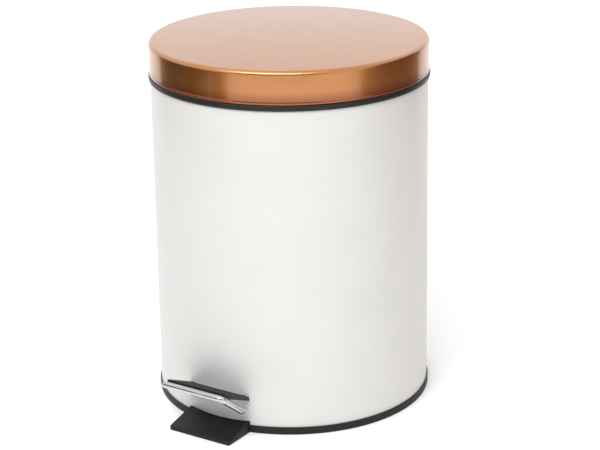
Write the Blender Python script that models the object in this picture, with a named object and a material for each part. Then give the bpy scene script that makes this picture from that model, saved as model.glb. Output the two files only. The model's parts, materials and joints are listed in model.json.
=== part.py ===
"""Five litre pedal bin: steel shell, lift-out bucket, hinged lid worked by a foot pedal.

Lengths below are in millimetres and are turned into metres when a mesh is made.
Origin: centre of the base's underside. +Z is up, and the pedal points along -Y.
"""
import math

import bmesh
import bpy
from mathutils import Matrix, Vector

MM = 0.001
ROUND = 72           # sides of the big turned pieces
SMALL = 20           # sides of pins, rivets and holes

# Driving dimensions -------------------------------------------------------------------
HEIGHT = 272.0       # floor to the top of the closed lid
BODY_R = 102.5       # outside of the painted steel shell
GAP = 0.3            # clearance between pieces that seat on each other
SHEET = 0.8          # wall of the steel shell and of the lid

RING_R = BODY_R + 0.9        # the base's visible lip
RING_H = 5.8
GROOVE_Z = 2.0               # floor of the groove that the shell stands in
FLOOR_T = 2.6
INNER_WALL_H = 9.0
INNER_WALL_T = 2.5

LID_R = BODY_R + 0.7
LID_H = 24.0
LID_FILLET = 3.0
RIM_R = BODY_R + 1.4         # black band under the lid
RIM_BAND = 4.0
RIM_FLANGE = 1.4
RIM_SKIRT = 9.7
RIM_WIDTH = 11.0             # shell's outside to the rim's bore
RIM_LIP = 1.5
SKIRT_T = 2.4                # rim's skirt inside the shell

BUCKET_SLACK = 2.0           # radial, between the bucket's wall and the rim's bore
BUCKET_SEAT = 2.3            # how far the bucket's flange rests on the rim
BUCKET_TAPER = 7.5           # top radius less foot radius
BUCKET_CLEAR = 1.6           # bucket's floor above the raised lift rod
BUCKET_WALL = 1.3
BUCKET_FLANGE_T = 1.8

TAB_HALF = 26.5              # foot tab that stops the bin tipping forwards
TAB_REACH = 24.0             # beyond the shell
TAB_FRONT_T = 3.0
TAB_BACK_T = 8.0
TAB_CORNER = 1.5
TAB_ROOT = 3.0               # tab runs on inside the foot by this much

AXLE_SET = 10.5              # pedal axle behind the shell's outside
PIVOT_Z = 20.0
AXLE_R = 2.0
BARREL_WALL = 2.2
POST_T = 4.0
POST_SET = 3.5               # axle posts out from the lever
POST_ROUND = 5.0
CLIP_T = 1.2
CLIP_RIM = 2.2
PRESS = math.radians(18.0)   # full travel of the pedal
PAD_HALF = 26.5
PAD_FRONT = 26.0             # pad's front edge, beyond the shell
PAD_TOP_Z = 41.6
PAD_SLOPE = 0.449            # fall towards the shell per length
PAD_T = 3.2
PAD_RIDGES = 7
PAD_ROUND = 2.5              # corners of the pad in plan
RIDGE_H = 0.6
LEVER_HALF = 10.0
LEVER_T = 2.2
LEVER_ARM = 48.2             # axle to the lift rod's foot
LEVER_DROP = math.radians(9.0)
SLOT_SIDE = 1.2              # clearance beside the lever
SLOT_UNDER = 0.6             # clearance under the pressed lever
SLOT_OVER = 1.0              # clearance over the lever at rest
SLOT_ROUND = 2.5

ROD_R = 2.5                  # bright rod round the tread
ROD_FRONT = 29.1             # beyond the shell
ROD_Z = 38.2
ROD_LEFT = -25.0
ROD_RIGHT = 25.4
ROD_BEND = 3.4               # at the tread's corner
ROD_RUN = 23.6               # slanting part back towards the shell
ROD_FALL = 18.05
ROD_FOOT = 3.4               # short level part at its end
ROD_FOOT_FALL = 1.05
ROD_FOOT_BEND = 6.0

LIFT_R = 2.0                 # wire of the lift rod
LIFT_INSET = 5.0             # rod's centre in from the shell's outside
LIFT_CLEAR = 0.73            # rod's foot above the lever
GUIDE_H = 9.0
GUIDE_HALF = 8.0
GUIDE_LOW = 60.0
GUIDE_DROP = 26.7            # upper guide below the hinge housing

HINGE_SET = 8.5              # axis behind the shell's outside
HINGE_DROP = 2.0             # axis below the lid's lower edge
HINGE_R = 1.5
KNUCKLE_R = 4.0
KNUCKLE_IN = 13.0
KNUCKLE_OUT = 19.0
CRANK = 12.5                 # axis to crank pin
CRANK_SWING = math.radians(37.0)
CRANK_PIN_R = 1.25
FORK_IN = 3.2                # crank arms, either side of the rod's eye
FORK_OUT = 6.2
EYE_HALF = 2.4
EYE_WALL = 1.6
RUN = 0.3                    # radial clearance of pins in their holes
NOTCH_HALF = 8.8             # rear opening that the crank works through
HOUSING_DEPTH = 17.0         # below the rim
HOUSING_PROUD = 5.5          # behind the shell
HOUSING_RIVET_X = 14.5
HOUSING_RIVET_UP = 4.5
HOUSING_RIVET_R = 1.6

LUG_T = 2.7
LUG_RISE = 0.5               # hinge lug above the lid's lower edge
PLATE_T = 2.4
LINER_WALL = 1.8
LID_RIVET_X = 8.0
LID_RIVET_UP = 10.5
LID_RIVET_R = 1.4
BUFFER_R = 2.1

BAIL_R = 1.4
BAIL_INSET = 4.0             # sweep of the bail inside the bucket's wall
BAIL_BEND = 3.0
BAIL_TIP = 0.7               # ends of the bail beyond its ears
EAR_R = 4.5
EAR_T = 3.3
EAR_SET = 1.3                # ears in from the flange's edge

# Derived places -----------------------------------------------------------------------
LID_Z = HEIGHT - LID_H
RIM_TOP = LID_Z - GAP
RIM_Z = RIM_TOP - RIM_BAND
SHELL_IN = BODY_R - SHEET
SHELL_Z0 = GROOVE_Z + GAP
SHELL_Z1 = RIM_TOP - RIM_FLANGE - GAP
SKIRT_IN = SHELL_IN - GAP - SKIRT_T
RIM_BORE = BODY_R - RIM_WIDTH
BUCKET_TOP_R = RIM_BORE - BUCKET_SLACK
BUCKET_FOOT_R = BUCKET_TOP_R - BUCKET_TAPER
BUCKET_FLANGE_R = RIM_BORE + BUCKET_SEAT
BAIL_SWEEP_R = BUCKET_TOP_R - BAIL_INSET

PIVOT_Y = AXLE_SET - BODY_R
LIFT_Y = BODY_R - LIFT_INSET
LIFT_Z = (PIVOT_Z - LEVER_ARM * math.sin(LEVER_DROP) + LEVER_T / 2 / math.cos(LEVER_DROP)
          + LIFT_CLEAR + LIFT_R)
LIFT_TRAVEL = 2 * LEVER_ARM * math.sin(PRESS / 2)
BUCKET_Z = LIFT_Z + LIFT_R + LIFT_TRAVEL + BUCKET_CLEAR

HINGE_Y = BODY_R + HINGE_SET
HINGE_Z = LID_Z - HINGE_DROP
CRANK_Y = HINGE_Y - CRANK * math.cos(CRANK_SWING)
CRANK_Z = HINGE_Z - CRANK * math.sin(CRANK_SWING)
CRANK_MID_Y = HINGE_Y - CRANK
FLANGE_Z = RIM_TOP + GAP
EAR_Z = FLANGE_Z + BUCKET_FLANGE_T + EAR_R - 0.3
EAR_OUT = BUCKET_FLANGE_R - EAR_SET
HOUSING_Z = RIM_Z - HOUSING_DEPTH
HOUSING_FACE = BODY_R + HOUSING_PROUD
POCKET_Z = HOUSING_Z + 6.5   # foot of the space that the crank swings in
LINER_Z = LID_Z + LUG_RISE + LUG_T + GAP
LINER_R = LID_R - SHEET - GAP
LID_RIVET_Z = LID_Z + LID_RIVET_UP
BRACKET_HALF = KNUCKLE_IN - 0.5
BRACKET_ROOM = math.sqrt((LINER_R - LINER_WALL) ** 2 - BRACKET_HALF ** 2)


# Tools --------------------------------------------------------------------------------
def clear_scene():
    for item in list(bpy.data.objects):
        bpy.data.objects.remove(item)


def material(name, colour, roughness, metallic=0.0):
    made = bpy.data.materials.new(name)
    made.use_nodes = True
    shader = made.node_tree.nodes["Principled BSDF"]
    shader.inputs["Base Color"].default_value = (*colour, 1.0)
    shader.inputs["Roughness"].default_value = roughness
    shader.inputs["Metallic"].default_value = metallic
    return made


def to_object(bm, name, finish=None):
    """Turns a closed bmesh in millimetres into an object in metres."""
    bmesh.ops.recalc_face_normals(bm, faces=bm.faces)
    bmesh.ops.scale(bm, vec=(MM, MM, MM), verts=bm.verts)
    mesh = bpy.data.meshes.new(name)
    bm.to_mesh(mesh)
    bm.free()
    mesh.shade_smooth()
    mesh.set_sharp_from_angle(angle=math.radians(30))
    made = bpy.data.objects.new(name, mesh)
    bpy.context.scene.collection.objects.link(made)
    if finish:
        mesh.materials.append(finish)
    return made


def arc(centre_a, centre_b, radius, start, end, steps):
    """Points on an arc in a plane, angles in degrees from the first axis."""
    angles = [math.radians(start + (end - start) * i / steps) for i in range(steps + 1)]
    return [(centre_a + radius * math.cos(a), centre_b + radius * math.sin(a)) for a in angles]


def turned(name, outline, finish=None, sides=ROUND):
    """Closed outline of (radius, height) spun round Z; a point at radius 0 is one vertex."""
    bm = bmesh.new()
    rings = []
    for radius, height in outline:
        if radius < 1e-6:
            rings.append([bm.verts.new((0, 0, height))])
            continue
        spots = [2 * math.pi * i / sides for i in range(sides)]
        rings.append([bm.verts.new((radius * math.sin(a), -radius * math.cos(a), height))
                      for a in spots])
    for here, there in zip(rings, rings[1:] + rings[:1]):
        for i in range(sides):
            j = (i + 1) % sides
            corners = [here[i % len(here)], here[j % len(here)],
                       there[j % len(there)], there[i % len(there)]]
            corners = list(dict.fromkeys(corners))
            if len(corners) > 2:
                bm.faces.new(corners)
    return to_object(bm, name, finish)


def extruded(name, outline, start, end, axis, finish=None):
    """Closed plane outline pushed along an axis. X takes (y, z), Y takes (x, z), Z (x, y)."""
    place = {"X": lambda a, b, c: (c, a, b),
             "Y": lambda a, b, c: (a, c, b),
             "Z": lambda a, b, c: (a, b, c)}[axis]
    bm = bmesh.new()
    low = [bm.verts.new(place(a, b, start)) for a, b in outline]
    high = [bm.verts.new(place(a, b, end)) for a, b in outline]
    bm.faces.new(low)
    bm.faces.new(high)
    for i in range(len(low)):
        j = (i + 1) % len(low)
        bm.faces.new((low[i], low[j], high[j], high[i]))
    return to_object(bm, name, finish)


def box(name, x, y, z, finish=None):
    outline = [(x[0], y[0]), (x[1], y[0]), (x[1], y[1]), (x[0], y[1])]
    return extruded(name, outline, z[0], z[1], "Z", finish)


def rounded(half_a, low_b, high_b, radius, steps=4):
    """Rectangle with round corners, centred on the first axis."""
    corners = ((half_a - radius, high_b - radius, 0), (radius - half_a, high_b - radius, 90),
               (radius - half_a, low_b + radius, 180), (half_a - radius, low_b + radius, 270))
    return [spot for a, b, turn in corners for spot in arc(a, b, radius, turn, turn + 90, steps)]


def capsule(start, end, radius_start, radius_end, steps=8):
    """Outline round two circles, for links and eyes."""
    heading = math.degrees(math.atan2(end[1] - start[1], end[0] - start[0]))
    reach = math.dist(start, end)
    lean = math.degrees(math.asin((radius_start - radius_end) / reach))
    first = arc(*start, radius_start, heading + 90 - lean, heading + 270 + lean, steps)
    return first + arc(*end, radius_end, heading - 90 + lean, heading + 90 - lean, steps)


def rod(name, axis, centre, radius, start, end, finish=None, sides=SMALL):
    """Plain round bar along an axis."""
    outline = arc(*centre, radius, 0, 360, sides)[:-1]
    return extruded(name, outline, start, end, axis, finish)


def headed(name, axis, centre, stations, finish=None, sides=SMALL):
    """Round bar of stepped radius along X or Y: stations are (place, radius)."""
    bm = bmesh.new()
    rings = []
    for place, radius in stations:
        spots = arc(*centre, radius, 0, 360, sides)[:-1]
        rings.append([bm.verts.new((place, a, b) if axis == "X" else (a, place, b))
                      for a, b in spots])
    for here, there in zip(rings, rings[1:]):
        for i in range(sides):
            j = (i + 1) % sides
            bm.faces.new((here[i], here[j], there[j], there[i]))
    bm.faces.new(rings[0])
    bm.faces.new(rings[-1])
    return to_object(bm, name, finish)


def soft_path(points, radii, steps=5):
    """Rounds the inner corners of a run of points, each with its own bend radius."""
    path = [Vector(points[0])]
    for before, here, after, radius in zip(points, points[1:], points[2:], radii):
        before, here, after = Vector(before), Vector(here), Vector(after)
        back, on = (before - here).normalized(), (after - here).normalized()
        half = back.angle(on) / 2
        centre = here + (back + on).normalized() * (radius / math.sin(half))
        first = here + back * (radius / math.tan(half)) - centre
        last = here + on * (radius / math.tan(half)) - centre
        turn, axis = first.angle(last), first.cross(last).normalized()
        path += [centre + Matrix.Rotation(turn * i / steps, 3, axis) @ first
                 for i in range(steps + 1)]
    return path + [Vector(points[-1])]


def wire(name, path, radius, finish=None, sides=10, tips=()):
    """Round bar along a path; tips are (set-back, radius share) rings that round its ends."""
    bm = bmesh.new()
    tangents = [((b - a).normalized()) for a, b in zip(path, path[1:])]
    tangents = ([tangents[0]] + [(a + b).normalized() for a, b in zip(tangents, tangents[1:])]
                + [tangents[-1]])
    side = tangents[0].orthogonal().normalized()
    sections = []
    for spot, tangent in zip(path, tangents):
        side = (side - tangent * side.dot(tangent)).normalized()
        sections.append((spot, side, tangent.cross(side), radius))
    for back, share in tips:
        _, a, b, _ = sections[0]
        sections.insert(0, (path[0] - tangents[0] * back, a, b, radius * share))
        _, a, b, _ = sections[-1]
        sections.append((path[-1] + tangents[-1] * back, a, b, radius * share))
    rings = []
    for spot, a, b, r in sections:
        angles = [2 * math.pi * i / sides for i in range(sides)]
        rings.append([bm.verts.new(spot + (a * math.cos(t) + b * math.sin(t)) * r)
                      for t in angles])
    for here, there in zip(rings, rings[1:]):
        for i in range(sides):
            j = (i + 1) % sides
            bm.faces.new((here[i], here[j], there[j], there[i]))
    bm.faces.new(rings[0])
    bm.faces.new(rings[-1])
    return to_object(bm, name, finish)


def combine(target, others, operation):
    """Adds or cuts other solids and keeps the result as the target's own mesh."""
    for other in others:
        step = target.modifiers.new(operation.title(), "BOOLEAN")
        step.operation = operation
        step.solver = "EXACT"
        step.object = other
    bpy.context.view_layer.update()
    graph = bpy.context.evaluated_depsgraph_get()
    shaped = bpy.data.meshes.new_from_object(target.evaluated_get(graph))
    target.modifiers.clear()
    target.data = shaped
    for other in others:
        bpy.data.objects.remove(other)
    return target


def add(target, *others):
    return combine(target, others, "UNION")


def cut(target, *others):
    return combine(target, others, "DIFFERENCE")


def set_origin(made, y, z, x=0.0):
    """Puts a moving piece's origin on its joint axis without moving the piece."""
    spot = Vector((x, y, z)) * MM
    made.data.transform(Matrix.Translation(-spot))
    made.location = spot


# Root: base, shell, rim, hinge housing ------------------------------------------------
def base_moulding(finish):
    """Round foot with a lip, a forward foot tab and two posts for the pedal axle."""
    groove_out, groove_in = BODY_R + GAP, SHELL_IN - GAP
    middle = (groove_out + groove_in) / 2
    wall_in = groove_in - INNER_WALL_T
    made = turned("base_moulding", [
        (0, 0), (RING_R - 0.6, 0), (RING_R, 0.6), (RING_R, RING_H - 0.2), (RING_R - 0.2, RING_H),
        (middle, RING_H), (middle, INNER_WALL_H), (wall_in, INNER_WALL_H), (wall_in, FLOOR_T),
        (0, FLOOR_T)], finish)
    front, back = -(BODY_R + TAB_REACH), -(wall_in - TAB_ROOT)
    fall = (TAB_BACK_T - TAB_FRONT_T) / (TAB_REACH - GAP)
    inside_z = TAB_BACK_T + fall * (BODY_R + GAP + back)
    tab = extruded("tab", [(back, 0.0), (back, inside_z), (front, TAB_FRONT_T), (front, 0.0)],
                   -TAB_HALF, TAB_HALF, "X")
    trim = extruded("trim", rounded(TAB_HALF, front, back + 60, TAB_CORNER), -5, 20, "Z")
    tab = combine(tab, [trim], "INTERSECT")
    add(made, tab)
    cut(made, turned("groove", [(groove_in, GROOVE_Z), (groove_out, GROOVE_Z),
                                (groove_out, INNER_WALL_H + 5), (groove_in, INNER_WALL_H + 5)]))
    for side in (-1, 1):
        outline = [(PIVOT_Y - POST_ROUND, GROOVE_Z - 1), (PIVOT_Y + POST_ROUND + 2, GROOVE_Z - 1)]
        outline += arc(PIVOT_Y, PIVOT_Z, POST_ROUND, 0, 180, 8)
        inner = LEVER_HALF + POST_SET
        ends = sorted((side * inner, side * (inner + POST_T)))
        add(made, extruded("post", outline, *ends, "X"))
    cut(made, rod("bore", "X", (PIVOT_Y, PIVOT_Z), AXLE_R + RUN, -40, 40))
    return made


def pivot_hardware(finish):
    clip_in = LEVER_HALF + POST_SET + POST_T + GAP
    length = clip_in + CLIP_T + 1.5
    headed("pedal_axle", "X", (PIVOT_Y, PIVOT_Z),
           [(-length, AXLE_R - 0.4), (-length + 0.4, AXLE_R), (length - 0.4, AXLE_R),
            (length, AXLE_R - 0.4)], finish)
    for side, label in ((-1, "left"), (1, "right")):
        ends = sorted((side * clip_in, side * (clip_in + CLIP_T)))
        clip = rod("axle_clip_" + label, "X", (PIVOT_Y, PIVOT_Z), AXLE_R + CLIP_RIM, *ends, finish)
        cut(clip, rod("bore", "X", (PIVOT_Y, PIVOT_Z), AXLE_R + RUN, -40, 40))


def slot_edges():
    """Foot and head of the pedal slot, from the lever pressed down and at rest."""
    near_y, near_z = lever_line()[1]
    lean = math.atan2(near_z - PIVOT_Z, PIVOT_Y - near_y)
    half = LEVER_T / 2
    outside = BODY_R + PIVOT_Y
    inside = math.sqrt(SHELL_IN ** 2 - LEVER_HALF ** 2) + PIVOT_Y
    high = outside * math.tan(lean) + half / math.cos(lean)
    pressed = lean - PRESS
    low = min(inside * math.tan(pressed), outside * math.tan(pressed)) - half / math.cos(pressed)
    return PIVOT_Z + low - SLOT_UNDER, PIVOT_Z + high + SLOT_OVER


def body_shell(finish):
    """Rolled steel tube with a slot for the pedal and a notch for the lid's crank."""
    made = turned("body_shell", [(SHELL_IN, SHELL_Z0), (BODY_R, SHELL_Z0), (BODY_R, SHELL_Z1),
                                 (SHELL_IN, SHELL_Z1)], finish)
    slot = extruded("slot", rounded(LEVER_HALF + SLOT_SIDE, *slot_edges(), SLOT_ROUND),
                    -BODY_R - 5, -BODY_R + 12, "Y")
    notch = box("notch", (-NOTCH_HALF, NOTCH_HALF), (BODY_R - 12, BODY_R + 5),
                (POCKET_Z, SHELL_Z1 + 5))
    return cut(made, slot, notch, *housing_bores())


def top_rim_collar(finish):
    """Black plastic rim: clips over the shell's top edge and carries the bucket."""
    groove_out, groove_in = BODY_R + GAP, SHELL_IN - GAP
    under = RIM_TOP - RIM_FLANGE
    made = turned("top_rim_collar", [
        (groove_out, RIM_Z), (RIM_R - 0.4, RIM_Z), (RIM_R, RIM_Z + 0.4), (RIM_R, RIM_TOP - 0.5),
        (RIM_R - 0.5, RIM_TOP), (RIM_BORE + 0.5, RIM_TOP), (RIM_BORE, RIM_TOP - 0.5),
        (RIM_BORE, under - 1.8), (RIM_BORE + RIM_LIP, under - 1.8), (RIM_BORE + RIM_LIP, under),
        (SKIRT_IN, under), (SKIRT_IN, RIM_TOP - RIM_SKIRT), (groove_in, RIM_TOP - RIM_SKIRT),
        (groove_in, under), (groove_out, under)], finish)
    notch = box("notch", (-NOTCH_HALF, NOTCH_HALF), (BUCKET_FLANGE_R + 0.6, RIM_R + 5),
                (RIM_Z - 20, RIM_TOP + 5))
    return cut(made, notch)


def housing_bores():
    height = HOUSING_Z + HOUSING_RIVET_UP
    return [rod("bore", "Y", (side * HOUSING_RIVET_X, height), HOUSING_RIVET_R + RUN,
                BODY_R - 12, BODY_R + 12) for side in (-1, 1)]


def hinge_housing(finish):
    """Rear block riveted to the shell, with the two fixed knuckles of the lid hinge."""
    top = HINGE_Z - KNUCKLE_R - 1.0
    back = HINGE_Y + 2.0
    outline = [(BODY_R - 4, HOUSING_Z), (HOUSING_FACE - 2.0, HOUSING_Z),
               (HOUSING_FACE, HOUSING_Z + 2.0), (HOUSING_FACE, HOUSING_Z + 9.0),
               (back, HOUSING_Z + 13.0), (back, top), (BODY_R + 2.0, top), (BODY_R - 4, top)]
    made = extruded("hinge_housing", outline, -KNUCKLE_OUT, KNUCKLE_OUT, "X", finish)
    for side in (-1, 1):
        ends = sorted((side * KNUCKLE_IN, side * KNUCKLE_OUT))
        knuckle = [(HINGE_Y - KNUCKLE_R, top - 1), (HINGE_Y + 1.5, top - 1)]
        knuckle += arc(HINGE_Y, HINGE_Z, KNUCKLE_R, 0, 180, 10)
        add(made, extruded("knuckle", knuckle, *ends, "X"))
    shell_space = rod("space", "Z", (0, 0), BODY_R + GAP, HOUSING_Z - 5, RIM_Z - GAP, sides=ROUND)
    rim_space = rod("rim", "Z", (0, 0), RIM_R + GAP, RIM_Z - GAP - 0.1, RIM_TOP + 5, sides=ROUND)
    low_pocket = box("pocket", (-NOTCH_HALF, NOTCH_HALF), (BODY_R - 6, HOUSING_FACE - 1.2),
                     (POCKET_Z, top + 5))
    high_pocket = box("pocket", (-NOTCH_HALF, NOTCH_HALF), (BODY_R - 6, HINGE_Y - 0.5),
                      (top - 2.5, top + 5))
    cut(made, shell_space, rim_space, low_pocket, high_pocket, *housing_bores())
    return cut(made, rod("bore", "X", (HINGE_Y, HINGE_Z), HINGE_R + RUN, -40, 40))


def housing_hardware(finish):
    end = KNUCKLE_OUT + 1.5
    headed("hinge_pin", "X", (HINGE_Y, HINGE_Z),
           [(-end, HINGE_R - 0.3), (-end + 0.4, HINGE_R), (KNUCKLE_OUT + GAP, HINGE_R),
            (KNUCKLE_OUT + GAP, 2.7), (end - 0.3, 2.7), (end, 2.2)], finish)
    inner = math.sqrt(SHELL_IN ** 2 - (HOUSING_RIVET_X + 3) ** 2) - GAP
    face = HOUSING_FACE + GAP
    shank = HOUSING_RIVET_R
    for side, label in ((-1, "left"), (1, "right")):
        spot = (side * HOUSING_RIVET_X, HOUSING_Z + HOUSING_RIVET_UP)
        headed("housing_rivet_" + label, "Y", spot,
               [(inner - 1.0, shank + 0.4), (inner - 0.5, shank + 1.0), (inner, shank + 1.0),
                (inner, shank), (face, shank), (face, shank + 1.3), (face + 0.4, shank + 1.1),
                (face + 0.9, shank)], finish)


def rod_guide(name, low, finish):
    """Plastic guide stuck to the inside of the shell, which keeps the lift rod upright."""
    rear = math.sqrt(SHELL_IN ** 2 - GUIDE_HALF ** 2) - GAP
    outline = rounded(GUIDE_HALF, LIFT_Y - LIFT_R - 1.9, rear, 0.8, 2)
    made = extruded(name, outline, low, low + GUIDE_H, "Z", finish)
    return cut(made, rod("bore", "Z", (0, LIFT_Y), LIFT_R + 0.4, low - 5, low + GUIDE_H + 5))


# Bucket and its bail ------------------------------------------------------------------
def inner_bucket(finish):
    top = FLANGE_Z + BUCKET_FLANGE_T
    made = turned("inner_bucket", [
        (0, BUCKET_Z), (BUCKET_FOOT_R - 3, BUCKET_Z), (BUCKET_FOOT_R - 0.8, BUCKET_Z + 0.8),
        (BUCKET_FOOT_R, BUCKET_Z + 3), (BUCKET_TOP_R, FLANGE_Z - 1.5), (BUCKET_TOP_R, FLANGE_Z),
        (BUCKET_FLANGE_R - 0.3, FLANGE_Z), (BUCKET_FLANGE_R, FLANGE_Z + 0.3),
        (BUCKET_FLANGE_R, top - 0.5), (BUCKET_FLANGE_R - 0.5, top),
        (BUCKET_TOP_R - BUCKET_WALL + 0.5, top), (BUCKET_TOP_R - BUCKET_WALL, top - 0.5),
        (BUCKET_TOP_R - BUCKET_WALL, FLANGE_Z - 1.5),
        (BUCKET_FOOT_R - BUCKET_WALL, BUCKET_Z + 3.2),
        (BUCKET_FOOT_R - 3, BUCKET_Z + 1.6), (0, BUCKET_Z + 1.6)], finish)
    for side in (-1, 1):
        ear = [(-EAR_R, top - 1.0), (EAR_R, top - 1.0)] + arc(0, EAR_Z, EAR_R, 0, 180, 10)
        ends = sorted((side * (EAR_OUT - EAR_T), side * EAR_OUT))
        add(made, extruded("ear", ear, *ends, "X"))
    return cut(made, rod("bore", "X", (0, EAR_Z), BAIL_R + 0.5, -120, 120))


def bucket_bail(finish):
    """Wire handle folded forwards inside the rim, its ends turned out through the ears."""
    corner = BAIL_SWEEP_R + BAIL_BEND
    tip = EAR_OUT + BAIL_TIP
    bend = [Vector((x, y, EAR_Z)) for x, y in arc(corner, -BAIL_BEND, BAIL_BEND, 90, 180, 4)]
    sweep = [Vector((x, y - BAIL_BEND, EAR_Z))
             for x, y in arc(0, 0, BAIL_SWEEP_R, 0, -180, 36)][1:-1]
    mirrored = [Vector((-p.x, p.y, p.z)) for p in reversed(bend)]
    path = [Vector((tip, 0, EAR_Z)), *bend, *sweep, *mirrored, Vector((-tip, 0, EAR_Z))]
    made = wire("bucket_bail", path, BAIL_R, finish, sides=8)
    set_origin(made, 0, EAR_Z)
    return made


# Pedal --------------------------------------------------------------------------------
def pad_bottom(y):
    return PAD_TOP_Z - RIDGE_H - PAD_T - (BODY_R + PAD_FRONT + y) * PAD_SLOPE


def tread_path():
    """Centre line of the bright rod: along the front edge, then back down to the shell."""
    front = -(BODY_R + ROD_FRONT)
    knee = (ROD_RIGHT, front + ROD_RUN, ROD_Z - ROD_FALL)
    foot = (ROD_RIGHT, knee[1] + ROD_FOOT, knee[2] - ROD_FOOT_FALL)
    points = [(ROD_LEFT, front, ROD_Z), (ROD_RIGHT, front, ROD_Z), knee, foot]
    return soft_path(points, (ROD_BEND, ROD_FOOT_BEND))


def pedal_rod(finish):
    tips = ((ROD_R * 0.5, 0.87), (ROD_R * 0.8, 0.6), (ROD_R * 0.95, 0.3))
    made = wire("pedal_rod", tread_path(), ROD_R, finish, sides=16, tips=tips)
    set_origin(made, PIVOT_Y, PIVOT_Z)
    return made


def pedal_pad(finish):
    """Ridged black tread whose rear edge follows the shell."""
    front = -(BODY_R + PAD_FRONT)
    length = PAD_FRONT + 8.0
    top = [(front, pad_bottom(front) + PAD_T)]
    pitch = PAD_FRONT / PAD_RIDGES
    for i in range(PAD_RIDGES + 2):
        start = front + 0.6 + i * pitch
        for step, rise in ((0.0, 0.0), (0.3, RIDGE_H), (pitch * 0.55, RIDGE_H),
                           (pitch * 0.55 + 0.3, 0.0)):
            if start + step < front + length:
                top.append((start + step, pad_bottom(start + step) + PAD_T + rise))
    rear = front + length
    outline = [(front, pad_bottom(front)), *top, (rear, pad_bottom(rear) + PAD_T),
               (rear, pad_bottom(rear))]
    made = extruded("pedal_pad", outline, -PAD_HALF, PAD_HALF, "X", finish)
    plan = extruded("plan", rounded(PAD_HALF, front, rear + 40, PAD_ROUND), -10, 80, "Z")
    made = combine(made, [plan], "INTERSECT")
    body = rod("body", "Z", (0, 0), BODY_R + 0.8, -10, 80, sides=ROUND)
    channel = wire("channel", tread_path(), ROD_R + GAP, sides=16)
    cut(made, body, channel)
    set_origin(made, PIVOT_Y, PIVOT_Z)
    return made


def lever_line():
    """Middle of the lever's strip in (y, z): under the tread, in to the axle, down to its end."""
    gap = GAP + LEVER_T / 2 / math.cos(math.atan(PAD_SLOPE))
    far, near = -(BODY_R + PAD_FRONT - 1.0), -(BODY_R + 2.0)
    reach = LEVER_ARM + 2.5
    inner = (PIVOT_Y + reach * math.cos(LEVER_DROP), PIVOT_Z - reach * math.sin(LEVER_DROP))
    return [Vector(p) for p in ((far, pad_bottom(far) - gap), (near, pad_bottom(near) - gap),
                                (PIVOT_Y, PIVOT_Z), inner)]


def pedal_lever(finish):
    """Steel strip through the slot: tread outside, barrel on the axle, arm under the rod."""
    line = lever_line()
    upper, lower = [], []
    for i, spot in enumerate(line):
        before, after = line[max(i - 1, 0)], line[min(i + 1, len(line) - 1)]
        heading = ((spot - before).normalized() + (after - spot).normalized()).normalized()
        normal = Vector((-heading.y, heading.x)) * LEVER_T / 2
        upper.append(tuple(spot + normal))
        lower.append(tuple(spot - normal))
    made = extruded("pedal_lever", upper + lower[::-1], -LEVER_HALF, LEVER_HALF, "X", finish)
    add(made, rod("barrel", "X", (PIVOT_Y, PIVOT_Z), AXLE_R + BARREL_WALL, -LEVER_HALF - 2.9,
                  LEVER_HALF + 2.9))
    cut(made, rod("bore", "X", (PIVOT_Y, PIVOT_Z), AXLE_R + RUN, -40, 40))
    set_origin(made, PIVOT_Y, PIVOT_Z)
    return made


def lift_rod(finish):
    """Wire foot under the bucket, upright at the back, and a slotted eye for the crank pin."""
    foot = PIVOT_Y + LEVER_ARM * math.cos(LEVER_DROP) - 0.1
    path = soft_path([(0, foot, LIFT_Z), (0, LIFT_Y, LIFT_Z), (0, LIFT_Y, CRANK_Z - 2.2)], (6.0,))
    made = wire("lift_rod", path, LIFT_R, finish, sides=12)
    slot_r = CRANK_PIN_R + 0.5
    ends = (CRANK_MID_Y - 0.2, CRANK_Z), (CRANK_Y + 0.2, CRANK_Z)
    add(made, extruded("eye", capsule(*ends, slot_r + EYE_WALL, slot_r + EYE_WALL),
                       -EYE_HALF, EYE_HALF, "X"))
    cut(made, extruded("slot", capsule(*ends, slot_r, slot_r), -10, 10, "X"))
    set_origin(made, LIFT_Y, LIFT_Z)
    return made


# Lid ----------------------------------------------------------------------------------
def lid_bores():
    return [rod("bore", "Y", (side * LID_RIVET_X, LID_RIVET_Z), LID_RIVET_R + RUN,
                BODY_R - 20, BODY_R + 8) for side in (-1, 1)]


def lid_shell(finish):
    """Drawn steel cap with a rounded top edge, notched at the back for the hinge lug."""
    round_r, inner_round = LID_FILLET, LID_FILLET - SHEET
    outer = arc(LID_R - round_r, HEIGHT - round_r, round_r, 0, 90, 6)
    inner = arc(LID_R - round_r, HEIGHT - round_r, inner_round, 90, 0, 5)
    made = turned("lid_shell", [(LID_R, LID_Z), *outer, (0, HEIGHT), (0, HEIGHT - SHEET),
                                *inner, (LID_R - SHEET, LID_Z)], finish)
    notch = box("notch", (-BRACKET_HALF - 0.5, BRACKET_HALF + 0.5), (LID_R - 12, LID_R + 5),
                (LID_Z - 5, LINER_Z))
    cut(made, notch, *lid_bores())
    set_origin(made, HINGE_Y, HINGE_Z)
    return made


def lid_liner(finish):
    """Plastic cup inside the cap, which takes the hinge bracket."""
    under = HEIGHT - SHEET - GAP
    inner = LINER_R - LINER_WALL
    made = turned("lid_liner", [
        (LINER_R, LINER_Z), (LINER_R, under - 2.3), (LINER_R - 2.1, under), (0, under),
        (0, under - 1.6), (inner - 2, under - 1.6), (inner, under - 3.6), (inner, LINER_Z)],
        finish)
    cut(made, *lid_bores())
    set_origin(made, HINGE_Y, HINGE_Z)
    return made


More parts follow.
